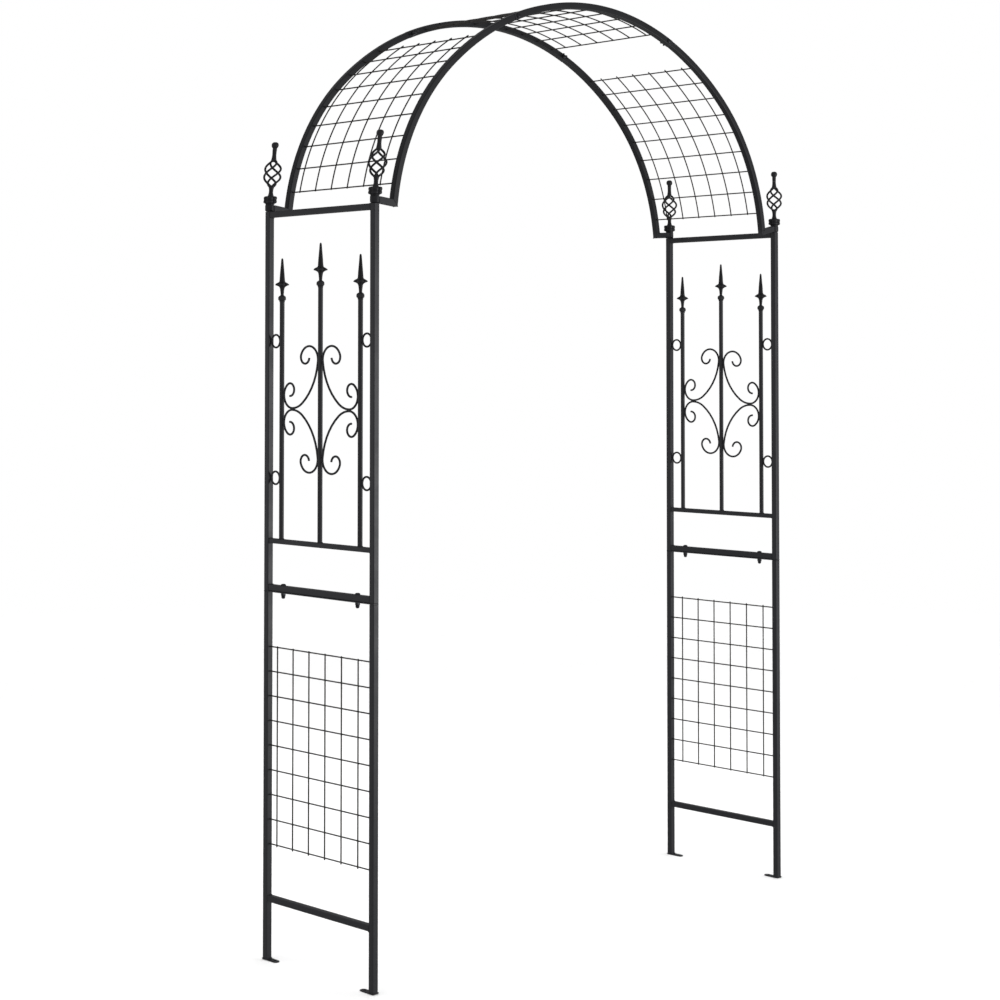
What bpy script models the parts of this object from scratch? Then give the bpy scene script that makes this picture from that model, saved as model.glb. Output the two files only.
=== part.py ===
"""Free-standing steel garden arbour: two side frames, an arch in three lengths and wire meshes.

Metres, +Z up. X runs across the walk-through span, Y through the depth, front at -Y.
The origin lies on the ground, at the middle of the four feet.
"""

from math import ceil, cos, pi, radians, sin, tan

import bmesh
import bpy
from mathutils import Vector

# Overall
span = 1.410                 # between post centrelines, left to right
depth = 0.364                # between post centrelines, front to rear
lower_frame_height = 0.830   # ground to the top of the lower posts
upper_frame_height = 0.864   # length of the upper posts

# Tubes and plates
post_size = 0.015
rail_size = 0.014
crown_tube_size = 0.016
tube_chamfer = 0.0016
strap_thickness = 0.003
contact_gap = 0.0003         # between pieces that touch
weld_bite = 0.0006           # how far fused pieces run into each other

# Feet
plate_width = 0.016
plate_thickness = 0.0025
plate_reach = 0.040          # from the post's centre to the rounded end
plate_hole_setback = 0.012   # from the rounded end to the hole's centre
plate_hole_radius = 0.0028

# Side frame heights
bottom_rail_height = 0.1385
grid_base_height = 0.2603
grid_top_drop = 0.124        # from the top of the lower posts down to the highest wire
rod_rail_rise = 0.1163       # from the top of the lower posts up to the rod rail's centre

# Wire grids
wire_diameter = 0.0028
grid_uprights = 6
grid_levels = 9
grid_margin = 0.0428         # from a post's centre to the nearest upright wire
grid_shift = {"left": 0.007, "right": 0.001}   # each mesh is welded a little off centre
arch_mesh_shift = {"left": 0.008, "crown": -0.009, "right": -0.001}

# Rods with spearheads
rod_diameter = 0.011
rod_rail_size = 0.0112
rod_to_post = 0.0463         # between the centres of an outer rod and its post
outer_knob_height = 1.4975
centre_knob_rise = 0.030
knob_radius = 0.0084
neck_radius = 0.0036
guard_radius = 0.0158
spike_radius = 0.0058
ring_wire_diameter = 0.0040
ring_heights = (1.0895, 1.4005)

# Scrolls
scroll_wire_diameter = 0.0046
scroll_weld_height = 1.247
scroll_drop = {"right_front": 0.0065}   # pairs that are welded lower than the others
# Each stretch is a radius in metres and a turn in degrees, from the weld outwards.
scroll_towards_centre = ((0.0598, 36.3), (0.1364, 47.2), (0.0306, 163.8), (0.0149, 195.0))
scroll_towards_post = ((0.0292, 148.5), (0.0144, 215.0))

# Arch, measured along its centreline
arch_inset = 0.055           # from a post's centre in to the foot of the arch
foot_lean = 7.3              # degrees from upright at the foot
haunch_radius = 0.517
haunch_turn = 40.9           # degrees
crown_half_length = 0.287    # from the top of the arch to a joint
mesh_foot_margin = 0.041
mesh_joint_margin = 0.109
crown_mesh_margin = 0.058
joint_bolt_setback = 0.012
boss_overhang = 0.0032       # how far the round boss runs past the flats of its post
# Each foot of the arch has sunk a little, so its bar slopes down from the boss.
foot_drop = {"left_front": 0.0045, "left_rear": 0.0055, "right_front": 0.0100, "right_rear": 0.0027}

# Finials
collar_radius = 0.0150
collar_height = 0.0200
lower_stem_length = 0.022
upper_stem_length = 0.027
stem_radius = 0.0046
basket_height = 0.061
basket_radius = 0.0205
basket_wire_diameter = 0.0042
basket_wires = 4
basket_twist = 270           # degrees
ball_radius = 0.0081
finial_lean = {"left": 6.2, "right": 0}   # degrees from upright, towards the walkway

# Fastenings
bolt_diameter = 0.006
bolt_hole_clearance = 0.0004
bolt_head_radius = 0.0062
bolt_head_height = 0.0038
cap_nut_radius = 0.0050
cap_nut_height = 0.0125
frame_bolt_inset = 0.054     # from a post's centre to a frame bolt
wing_reach = 0.0125
wing_thickness = 0.0022
wing_height = 0.0110

POWDER_COAT = (0.021, 0.021, 0.024, 1.0)
WIRE_COAT = (0.026, 0.024, 0.023, 1.0)

SIDES = {"left": -1, "right": 1}
ENDS = {"front": -1, "rear": 1}

post_top = lower_frame_height + strap_thickness + contact_gap + upper_frame_height
half_span = span / 2
half_depth = depth / 2


def clear_scene():
    for item in list(bpy.data.objects):
        bpy.data.objects.remove(item, do_unlink=True)


def coat(name, colour, roughness):
    material = bpy.data.materials.new(name)
    material.use_nodes = True
    shader = material.node_tree.nodes["Principled BSDF"]
    shader.inputs["Base Color"].default_value = colour
    shader.inputs["Roughness"].default_value = roughness
    material.diffuse_color = colour
    return material


def node(name, mesh_data, colour=POWDER_COAT, roughness=0.45):
    """Puts a closed bmesh in the scene as a named object with a finish of its own."""
    bmesh.ops.remove_doubles(mesh_data, verts=mesh_data.verts, dist=1e-6)
    bmesh.ops.recalc_face_normals(mesh_data, faces=mesh_data.faces)
    mesh = bpy.data.meshes.new(name)
    mesh_data.to_mesh(mesh)
    mesh_data.free()
    item = bpy.data.objects.new(name, mesh)
    mesh.materials.append(coat(name, colour, roughness))
    bpy.context.scene.collection.objects.link(item)
    return item


def combine(item, others, operation):
    """Runs exact Booleans on an object with each of the others, and removes them."""
    for other in others:
        modifier = item.modifiers.new(operation.title(), "BOOLEAN")
        modifier.operation = operation
        modifier.solver = "EXACT"
        modifier.object = other
        graph = bpy.context.evaluated_depsgraph_get()
        result = bpy.data.meshes.new_from_object(item.evaluated_get(graph))
        item.modifiers.clear()
        old = item.data
        finish = old.materials[0]
        item.data = result
        result.materials.clear()
        result.materials.append(finish)
        bpy.data.meshes.remove(old)
        bpy.data.objects.remove(other, do_unlink=True)
    return item


def helper(mesh_data):
    return node("helper", mesh_data)


def box_section(size, chamfer=tube_chamfer):
    """Eight corners of a square tube's outside, anticlockwise."""
    half, inner = size / 2, size / 2 - chamfer
    return [(half, -inner), (half, inner), (inner, half), (-inner, half),
            (-half, inner), (-half, -inner), (-inner, -half), (inner, -half)]


def round_section(radius, sides, turn=0.0):
    return [(radius * cos(turn + 2 * pi * k / sides), radius * sin(turn + 2 * pi * k / sides))
            for k in range(sides)]


def sweep(mesh_data, path, section, side, closed=False, facings=(None, None)):
    """Carries a section along a path. side is a direction across the path, or one for each point.

    facings are the directions of travel at the two ends, where they aren't those of the chords.
    """
    rings = []
    count = len(path)
    for index, point in enumerate(path):
        before = path[index - 1] if index or closed else point
        after = path[(index + 1) % count] if index < count - 1 or closed else point
        along = (after - before).normalized()
        if index == 0:
            along = facings[0] or along
        elif index == count - 1:
            along = facings[1] or along
        across = side[index] if isinstance(side, list) else side
        across = (across - along * across.dot(along)).normalized()
        up = along.cross(across)
        # A mitred corner widens the section across the bend.
        stretch = 1.0
        if before is not point and after is not point:
            turn = (point - before).angle(after - point) / 2
            stretch = 1 / cos(turn)
        rings.append([mesh_data.verts.new(point + across * a + up * b * stretch)
                      for a, b in section])
    sides = len(section)
    pairs = list(zip(rings, rings[1:])) + ([(rings[-1], rings[0])] if closed else [])
    for low, high in pairs:
        for k in range(sides):
            mesh_data.faces.new((low[k], low[(k + 1) % sides], high[(k + 1) % sides], high[k]))
    if not closed:
        mesh_data.faces.new(rings[0][::-1])
        mesh_data.faces.new(rings[-1])
    return mesh_data


def bar(start, end, section, side=Vector((1, 0, 0))):
    return sweep(bmesh.new(), [Vector(start), Vector(end)], section, side)


def lathe(mesh_data, profile, centre, sides, shape=None):
    """Turns a profile of (radius, height) about a vertical axis. shape(angle) scales the radius."""
    rings = []
    for radius, height in profile:
        if radius == 0:
            rings.append([mesh_data.verts.new(centre + Vector((0, 0, height)))])
            continue
        ring = []
        for k in range(sides):
            angle = 2 * pi * (k + 0.5) / sides
            reach = radius * (shape(angle) if shape else 1.0)
            ring.append(mesh_data.verts.new(
                centre + Vector((reach * cos(angle), reach * sin(angle), height))))
        rings.append(ring)
    for low, high in zip(rings, rings[1:]):
        for k in range(sides):
            after = (k + 1) % sides
            if len(low) == 1:
                mesh_data.faces.new((low[0], high[after], high[k]))
            elif len(high) == 1:
                mesh_data.faces.new((low[k], low[after], high[0]))
            else:
                mesh_data.faces.new((low[k], low[after], high[after], high[k]))
    for ring, flat in ((rings[0], -1), (rings[-1], 1)):
        if len(ring) > 1:
            mesh_data.faces.new(ring[::flat])
    return mesh_data


def cylinder(start, end, radius, sides=12):
    axis = Vector(end) - Vector(start)
    side = Vector((1, 0, 0)) if abs(axis.x) < abs(axis.length) / 2 else Vector((0, 1, 0))
    return bar(start, end, round_section(radius, sides, pi / sides), side)


def lattice(place, uprights, levels, stub_start, stub_end):
    """Square wires fused where they cross. place(u, v, w) gives the point in space.

    uprights are positions along u and levels along v; level wires run on to both stubs.
    """
    half = wire_diameter / 2
    u_edges = [stub_start] + [u + s for u in uprights for s in (-half, half)] + [stub_end]
    v_edges = [v + s for v in levels for s in (-half, half)]
    mesh_data = bmesh.new()
    corners = {}

    def corner(i, j, w):
        if (i, j, w) not in corners:
            corners[i, j, w] = mesh_data.verts.new(place(u_edges[i], v_edges[j], w * half))
        return corners[i, j, w]

    def solid(i, j):
        inside = 0 <= i < len(u_edges) - 1 and 0 <= j < len(v_edges) - 1
        return inside and (i % 2 == 1 or j % 2 == 0)

    for i in range(len(u_edges) - 1):
        for j in range(len(v_edges) - 1):
            if not solid(i, j):
                continue
            square = ((i, j), (i + 1, j), (i + 1, j + 1), (i, j + 1))
            mesh_data.faces.new([corner(a, b, 1) for a, b in square])
            mesh_data.faces.new([corner(a, b, -1) for a, b in reversed(square)])
            beside = ((i, j - 1), (i + 1, j), (i, j + 1), (i - 1, j))
            for edge, neighbour in enumerate(beside):
                if not solid(*neighbour):
                    a, b = square[edge], square[(edge + 1) % 4]
                    mesh_data.faces.new((corner(*a, -1), corner(*b, -1),
                                         corner(*b, 1), corner(*a, 1)))
    return mesh_data


def evenly(first, last, count):
    return [first + (last - first) * k / (count - 1) for k in range(count)]


def wires_across(shift):
    """Places through the depth of the wires that run up a side or along the arch."""
    reach = half_depth - grid_margin
    return [shift + y for y in evenly(-reach, reach, grid_uprights)]


# Side frames

def foot_plate(x, y, inward):
    """Flat plate under a post, with a rounded end and a peg hole, running inward."""
    half = plate_width / 2
    round_centre = plate_reach - half
    outline = [(-post_size / 2, -half), (round_centre, -half)]
    outline += [(round_centre + half * sin(pi * k / 8), -half * cos(pi * k / 8))
                for k in range(1, 9)]
    outline.append((-post_size / 2, half))
    mesh_data = bmesh.new()
    base = [mesh_data.verts.new((x + b, y + inward * a, 0)) for a, b in outline]
    lid = [mesh_data.verts.new(v.co + Vector((0, 0, plate_thickness))) for v in base]
    mesh_data.faces.new(base)
    mesh_data.faces.new(lid[::-1])
    for k in range(len(base)):
        after = (k + 1) % len(base)
        mesh_data.faces.new((base[k], lid[k], lid[after], base[after]))
    hole_y = y + inward * (plate_reach - plate_hole_setback)
    drill = cylinder((x, hole_y, -plate_thickness), (x, hole_y, 2 * plate_thickness),
                     plate_hole_radius)
    return mesh_data, drill


def lower_post(side, end):
    x, y = SIDES[side] * half_span, ENDS[end] * half_depth
    plate, drill = foot_plate(x, y, -ENDS[end])
    item = node(f"{side}_{end}_lower_post", plate)
    combine(item, [helper(drill)], "DIFFERENCE")
    shaft = bar((x, y, plate_thickness - weld_bite), (x, y, lower_frame_height),
                box_section(post_size))
    combine(item, [helper(shaft)], "UNION")


def upper_post(side, end):
    x, y = SIDES[side] * half_span, ENDS[end] * half_depth
    base = post_top - upper_frame_height
    node(f"{side}_{end}_upper_post", bar((x, y, base), (x, y, post_top), box_section(post_size)))


def cross_rail(name, side, height, section, reach):
    """A rail along the depth, between the posts of one side."""
    x = SIDES[side] * half_span
    return node(f"{side}_{name}", bar((x, -reach, height), (x, reach, height), section))


def frame_bolt_places(side):
    x = SIDES[side] * half_span
    return {end: (x, ENDS[end] * (half_depth - frame_bolt_inset)) for end in ENDS}


def drill_for_frame_bolts(item, side, low, high):
    radius = (bolt_diameter + bolt_hole_clearance) / 2
    drills = [helper(cylinder((x, y, low), (x, y, high), radius, 8))
              for x, y in frame_bolt_places(side).values()]
    combine(item, drills, "DIFFERENCE")


def side_rails(side):
    reach = half_depth - post_size / 2 - contact_gap
    square = box_section(rail_size)
    cross_rail("bottom_rail", side, bottom_rail_height, square, reach)
    cross_rail("top_rail", side, post_top - rail_size / 2, square, reach)
    cross_rail("rod_rail", side, lower_frame_height + rod_rail_rise,
               box_section(rod_rail_size, tube_chamfer), reach)

    strap_base = lower_frame_height + contact_gap
    strap_top = strap_base + strap_thickness - contact_gap
    x = SIDES[side] * half_span
    strap = bar((x, -half_depth - post_size / 2, (strap_base + strap_top) / 2),
                (x, half_depth + post_size / 2, (strap_base + strap_top) / 2),
                [(a, b * (strap_top - strap_base) / post_size)
                 for a, b in box_section(post_size, 0)[::2]])
    strap = node(f"{side}_strap", strap)
    drill_for_frame_bolts(strap, side, strap_base - 0.01, strap_top + 0.01)

    rail_base = strap_top + contact_gap
    rail = cross_rail("middle_rail", side, rail_base + rail_size / 2, square, reach)
    drill_for_frame_bolts(rail, side, rail_base - 0.01, rail_base + rail_size + 0.01)


def side_grid(side):
    x = SIDES[side] * half_span
    reach = half_depth - post_size / 2 - contact_gap
    uprights = wires_across(grid_shift[side])
    levels = evenly(grid_base_height, lower_frame_height - grid_top_drop, grid_levels)
    mesh_data = lattice(lambda u, v, w: Vector((x + w, u, v)), uprights, levels, -reach, reach)
    node(f"{side}_grid", mesh_data, WIRE_COAT)


# Rods and scrolls

def spear_profile(base, knob):
    """Rod, ball knob, neck, flared guard and spike, as radius and height from the bottom up."""
    radius = rod_diameter / 2
    return [(radius, base), (radius, knob - 0.0065), (knob_radius, knob - 0.0030),
            (knob_radius, knob + 0.0028), (neck_radius, knob + 0.0068),
            (neck_radius * 1.3, knob + 0.0230), (guard_radius, knob + 0.0300),
            (guard_radius * 0.96, knob + 0.0330), (spike_radius * 1.2, knob + 0.0385),
            (spike_radius, knob + 0.0400), (0.0016, knob + 0.0880), (0, knob + 0.0915)]


def rod_base():
    return lower_frame_height + rod_rail_rise + rod_rail_size / 2 + contact_gap


def centre_rod(side):
    x = SIDES[side] * half_span
    knob = outer_knob_height + centre_knob_rise
    profile = spear_profile(rod_base(), knob)
    node(f"{side}_centre_rod", lathe(bmesh.new(), profile, Vector((x, 0, 0)), 8))


def outer_rod(side, end):
    """Outer rod, with the two wire rings that hold it off its post."""
    x = SIDES[side] * half_span
    y = ENDS[end] * (half_depth - rod_to_post)
    profile = spear_profile(rod_base(), outer_knob_height)
    item = node(f"{side}_{end}_rod", lathe(bmesh.new(), profile, Vector((x, y, 0)), 8))
    near = rod_diameter / 2 - weld_bite
    far = rod_to_post - post_size / 2 - contact_gap
    ring_centre = y + ENDS[end] * (near + far) / 2
    ring_radius = (far - near - ring_wire_diameter) / 2
    section = round_section(ring_wire_diameter / 2, 5)
    for height in ring_heights:
        path = [Vector((x, ring_centre + ring_radius * cos(2 * pi * k / 14),
                        height + ring_radius * sin(2 * pi * k / 14))) for k in range(14)]
        ring = sweep(bmesh.new(), path, section, Vector((1, 0, 0)), closed=True)
        combine(item, [helper(ring)], "UNION")


def arc_chain(start, heading, stretches, turn_sign, step=24):
    """Points along tangent arcs, each a radius and a turn in degrees."""
    points = [Vector(start)]
    for radius, turn in stretches:
        count = max(2, ceil(turn / step))
        first = points[-1]
        normal = Vector((-sin(heading), cos(heading))) * turn_sign
        centre = first + normal * radius
        for k in range(1, count + 1):
            angle = radians(turn) * k / count * turn_sign
            arm = first - centre
            points.append(centre + Vector((arm.x * cos(angle) - arm.y * sin(angle),
                                           arm.x * sin(angle) + arm.y * cos(angle))))
        heading += radians(turn) * turn_sign
    return points


def scroll_outline():
    """One scroll's centreline as (distance from the centre rod's axis, height above the weld)."""
    inward = arc_chain((0, 0), pi, scroll_towards_centre, -1)
    outward = arc_chain((0, 0), 0, scroll_towards_post, 1)
    points = outward[::-1] + inward[1:]
    near, far = min(p.x for p in points), max(p.x for p in points)
    clear = rod_diameter / 2 + scroll_wire_diameter / 2 + contact_gap
    room = half_depth - rod_to_post - 2 * clear
    scale = room / (far - near)
    rise = scroll_wire_diameter / 2 - weld_bite
    return [Vector((clear + (p.x - near) * scale, rise + p.y * scale)) for p in points]


def scroll_pair(side, end):
    """An upper and a lower C-scroll, welded back to back."""
    x = SIDES[side] * half_span
    weld_height = scroll_weld_height - scroll_drop.get(f"{side}_{end}", 0)
    section = round_section(scroll_wire_diameter / 2, 5)
    halves = []
    for flip in (1, -1):
        path = [Vector((x, ENDS[end] * p.x, weld_height + flip * p.y))
                for p in scroll_outline()]
        halves.append(sweep(bmesh.new(), path, section, Vector((1, 0, 0))))
    item = node(f"{side}_{end}_scrolls", halves[0])
    combine(item, [helper(halves[1])], "UNION")


# Arch

foot_height = post_top + contact_gap + post_size / 2
foot_x = half_span - arch_inset
haunch_start = radians(foot_lean)
haunch_end = haunch_start + radians(haunch_turn)
haunch_length = haunch_radius * radians(haunch_turn)
haunch_centre = (foot_x - haunch_radius * cos(haunch_start),
                 foot_height - haunch_radius * sin(haunch_start))
crown_radius = (haunch_centre[0] + haunch_radius * cos(haunch_end)) / cos(haunch_end)
crown_centre_height = (haunch_centre[1] + haunch_radius * sin(haunch_end)
                       - crown_radius * sin(haunch_end))
arch_half_length = haunch_length + crown_radius * (pi / 2 - haunch_end)
joint_distance = arch_half_length - crown_half_length
boss_radius = post_size / 2 + boss_overhang


def arch_point(distance, y, lift=0.0):
    """Point on the right half of the arch, from the foot upwards, moved out by lift."""
    if distance < haunch_length:
        angle = haunch_start + distance / haunch_radius
        centre, radius = haunch_centre, haunch_radius
    else:
        angle = haunch_end + (distance - haunch_length) / crown_radius
        centre, radius = (0, crown_centre_height), crown_radius
    reach = radius + lift
    return Vector((centre[0] + reach * cos(angle), y, centre[1] + reach * sin(angle)))


def arch_direction(distance):
    """Direction of travel up the right half of the arch."""
    return (arch_point(distance, 0, 1.0) - arch_point(distance, 0)).cross(Vector((0, 1, 0)))


def mirrored(point, side):
    return Vector((SIDES[side] * point.x, point.y, point.z))


def arch_leg(side, end):
    """Curved tube from the joint down to its foot bar and the boss on the post."""
    y = ENDS[end] * half_depth
    stations = evenly(joint_distance - contact_gap, -foot_drop[f"{side}_{end}"], 15)
    path = [mirrored(arch_point(s, y), side) for s in stations]
    path += [mirrored(Vector((half_span - reach, y, foot_height)), side)
             for reach in (boss_radius * 1.15, boss_radius / 2)]
    down = mirrored(-arch_direction(joint_distance), side)
    item = node(f"{side}_{end}_arch_leg",
                sweep(bmesh.new(), path, box_section(post_size), Vector((0, 1, 0)),
                      facings=(down, None)))
    x = SIDES[side] * half_span
    boss = cylinder((x, y, foot_height - post_size / 2), (x, y, foot_height + post_size / 2),
                    boss_radius)
    combine(item, [helper(boss)], "UNION")


def joint_bolt_place(side):
    return mirrored(arch_point(joint_distance + joint_bolt_setback, 0), side)


def arch_crown(end):
    """Wider tube over the top, drilled for the two joint bolts."""
    y = ENDS[end] * half_depth
    right = evenly(joint_distance, arch_half_length, 7)
    path = [mirrored(arch_point(s, y), "left") for s in right[:-1]]
    path += [arch_point(s, y) for s in reversed(right)]
    up = arch_direction(joint_distance)
    item = node(f"{end}_arch_crown",
                sweep(bmesh.new(), path, box_section(crown_tube_size), Vector((0, 1, 0)),
                      facings=(mirrored(up, "left"), -up)))
    radius = (bolt_diameter + bolt_hole_clearance) / 2
    drills = []
    for side in SIDES:
        spot = joint_bolt_place(side)
        drills.append(helper(cylinder((spot.x, y - crown_tube_size, spot.z),
                                      (spot.x, y + crown_tube_size, spot.z), radius, 8)))
    combine(item, drills, "DIFFERENCE")


def leg_mesh(side):
    uprights = wires_across(arch_mesh_shift[side])
    reach = half_depth - post_size / 2 - contact_gap
    levels = evenly(mesh_foot_margin, joint_distance - mesh_joint_margin, grid_levels)
    mesh_data = lattice(lambda u, v, w: mirrored(arch_point(v, u, w), side),
                        uprights, levels, -reach, reach)
    node(f"{side}_arch_mesh", mesh_data, WIRE_COAT)


def crown_mesh():
    uprights = wires_across(arch_mesh_shift["crown"])
    reach = half_depth - crown_tube_size / 2 - contact_gap
    half_length = crown_half_length - crown_mesh_margin
    levels = evenly(-half_length, half_length, grid_levels)

    def place(u, v, w):
        angle = v / crown_radius
        radius = crown_radius + w
        return Vector((radius * sin(angle), u, crown_centre_height + radius * cos(angle)))

    node("crown_mesh", lattice(place, uprights, levels, -reach, reach), WIRE_COAT)


# Finials

def four_lobes(angle):
    return 0.80 + 0.20 * abs(sin(2 * angle))


def basket_path(centre, base, turn):
    path, sides = [], []
    for k in range(11):
        share = k / 10
        angle = turn + radians(basket_twist) * share
        bulge = sin(pi * share) ** 0.85
        inner = stem_radius - basket_wire_diameter / 2
        radius = inner + (basket_radius - inner) * bulge
        outward = Vector((cos(angle), sin(angle), 0))
        path.append(centre + outward * radius + Vector((0, 0, base + basket_height * share)))
        sides.append(outward)
    return path, sides


def finial(side, end):
    """Lobed collar, stems, twisted basket of wires and ball."""
    base = foot_height + post_size / 2 + contact_gap
    centre = Vector((SIDES[side] * half_span, ENDS[end] * half_depth, base))
    item = node(f"{side}_{end}_finial", lathe(
        bmesh.new(),
        [(collar_radius * 0.72, 0), (collar_radius, collar_height * 0.3),
         (collar_radius, collar_height)], centre, 16, four_lobes))
    cage_base = collar_height + lower_stem_length
    lower = [(stem_radius * 1.3, collar_height - weld_bite * 2), (stem_radius, collar_height + 0.005),
             (stem_radius, cage_base - 0.002), (stem_radius * 0.6, cage_base + 0.003)]
    cage_top = cage_base + basket_height
    ball = cage_top + upper_stem_length + ball_radius
    upper = [(stem_radius * 0.6, cage_top - 0.003), (stem_radius, cage_top + 0.002),
             (stem_radius, ball - ball_radius * 0.85), (ball_radius * 0.87, ball - ball_radius / 2),
             (ball_radius, ball), (ball_radius * 0.87, ball + ball_radius / 2),
             (0, ball + ball_radius)]
    pieces = [helper(lathe(bmesh.new(), profile, centre, 8)) for profile in (lower, upper)]
    section = round_section(basket_wire_diameter / 2, 4)
    for k in range(basket_wires):
        path, sides = basket_path(centre, cage_base, 2 * pi * k / basket_wires + 0.3)
        pieces.append(helper(sweep(bmesh.new(), path, section, sides)))
    combine(item, pieces, "UNION")
    slope = -SIDES[side] * tan(radians(finial_lean[side]))
    for vertex in item.data.vertices:
        vertex.co.x += slope * (vertex.co.z - base)


# Fastenings

def frame_bolts(side):
    """Domed head on the middle rail, shank, and a long cap nut under the strap."""
    top = lower_frame_height + strap_thickness + contact_gap + rail_size + contact_gap
    under = lower_frame_height
    for end, (x, y) in frame_bolt_places(side).items():
        shank = bolt_diameter / 2
        profile = [(cap_nut_radius * 0.55, under - cap_nut_height),
                   (cap_nut_radius * 0.9, under - cap_nut_height * 0.8),
                   (cap_nut_radius, under), (shank, under), (shank, top),
                   (bolt_head_radius, top), (bolt_head_radius * 0.9, top + bolt_head_height * 0.6),
                   (bolt_head_radius * 0.5, top + bolt_head_height)]
        node(f"{side}_{end}_frame_bolt", lathe(bmesh.new(), profile, Vector((x, y, 0)), 8))


def wing_bolt(side, end):
    """Bolt through a crown tube, with its wing nut on the face towards the other arch."""
    spot = joint_bolt_place(side)
    spot.y = ENDS[end] * half_depth
    outward = ENDS[end]
    face = crown_tube_size / 2 + contact_gap
    shank = bolt_diameter / 2

    def at(offset):
        return spot + Vector((0, outward * offset, 0))

    item = node(f"{side}_{end}_wing_bolt", cylinder(at(-face - 0.012), at(face + 0.001), shank, 8))
    head = cylinder(at(face), at(face + bolt_head_height), bolt_head_radius, 8)
    hub = cylinder(at(-face), at(-face - 0.006), shank * 1.7, 8)
    wings = bmesh.new()
    outline = [(-shank, 0.001), (shank, 0.001), (wing_reach, wing_height * 0.6),
               (wing_reach, wing_height), (wing_reach * 0.7, wing_height),
               (0, 0.0055), (-wing_reach * 0.7, wing_height), (-wing_reach, wing_height),
               (-wing_reach, wing_height * 0.6)]
    slant = radians(35) * SIDES[side]
    for thickness in (-wing_thickness / 2, wing_thickness / 2):
        for a, b in outline:
            offset = Vector((a * cos(slant) - thickness * sin(slant), 0,
                             a * sin(slant) + thickness * cos(slant)))
            wings.verts.new(at(-face - b) + offset)
    wings.verts.ensure_lookup_table()
    count = len(outline)
    wings.faces.new(wings.verts[:count])
    wings.faces.new(reversed(wings.verts[count:]))
    for k in range(count):
        after = (k + 1) % count
        wings.faces.new((wings.verts[k], wings.verts[k + count],
                         wings.verts[after + count], wings.verts[after]))
    combine(item, [helper(head), helper(hub), helper(wings)], "UNION")


def build():
    clear_scene()
    for side in SIDES:
        for end in ENDS:
            lower_post(side, end)
            upper_post(side, end)
            outer_rod(side, end)
            scroll_pair(side, end)
            arch_leg(side, end)
            finial(side, end)
            wing_bolt(side, end)
        side_rails(side)
        side_grid(side)
        centre_rod(side)
        frame_bolts(side)
        leg_mesh(side)
    for end in ENDS:
        arch_crown(end)
    crown_mesh()


build()
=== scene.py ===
from math import ceil, cos, pi, radians, sin, tan

import bmesh
import bpy
from mathutils import Matrix, Vector, noise


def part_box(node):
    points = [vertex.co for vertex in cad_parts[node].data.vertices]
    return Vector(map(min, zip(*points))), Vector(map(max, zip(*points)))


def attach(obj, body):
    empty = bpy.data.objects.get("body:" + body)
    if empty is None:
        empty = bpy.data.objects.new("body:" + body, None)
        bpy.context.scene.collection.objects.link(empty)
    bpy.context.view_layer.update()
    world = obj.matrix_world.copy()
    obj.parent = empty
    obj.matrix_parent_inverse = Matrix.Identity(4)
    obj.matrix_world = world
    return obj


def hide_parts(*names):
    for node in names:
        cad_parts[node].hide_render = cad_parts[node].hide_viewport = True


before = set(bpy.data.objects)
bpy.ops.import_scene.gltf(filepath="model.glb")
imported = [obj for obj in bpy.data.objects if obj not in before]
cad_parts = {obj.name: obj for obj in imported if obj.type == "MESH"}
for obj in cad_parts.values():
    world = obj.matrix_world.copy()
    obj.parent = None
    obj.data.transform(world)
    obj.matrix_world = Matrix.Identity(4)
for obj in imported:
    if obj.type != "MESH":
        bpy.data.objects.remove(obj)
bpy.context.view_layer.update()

sideSign = {"left": -1, "right": 1}
endSign = {"front": -1, "rear": 1}
corners = [(side, end) for side in sideSign for end in endSign]
acrossWay, alongWay, upWay = Vector((1, 0, 0)), Vector((0, 1, 0)), Vector((0, 0, 1))
millimetre = 0.001
castingSeed = 7                      # the castings come out equally uneven every time
noise.seed_set(castingSeed)


def middleOf(node):
    low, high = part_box(node)
    return (low + high) / 2


# Places that the steel frame gives
postLow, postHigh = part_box("right_rear_upper_post")
postSize = postHigh.x - postLow.x
postX = (postLow.x + postHigh.x) / 2
postY = (postLow.y + postHigh.y) / 2
postTop = postHigh.z
postFace = postY - postSize / 2      # the face of a post that the rails run to


# Surfaces

def addNode(tree, kind, inputs=None, **settings):
    # an input takes a plain value or another node's output
    node = tree.nodes.new(kind)
    for name, value in settings.items():
        setattr(node, name, value)
    for key, value in (inputs or {}).items():
        if isinstance(value, bpy.types.NodeSocket):
            tree.links.new(value, node.inputs[key])
        else:
            node.inputs[key].default_value = value
    return node


def hexColour(text):
    # an sRGB hex colour as linear light
    def linear(part):
        value = int(part, 16) / 255
        return value / 12.92 if value <= 0.04045 else ((value + 0.055) / 1.055) ** 2.4
    return (*(linear(text[k:k + 2]) for k in (1, 3, 5)), 1.0)


def noiseScale(size):
    # Object coordinates are in metres, so noise of this size in millimetres repeats this often
    return 1 / (size * millimetre)


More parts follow.
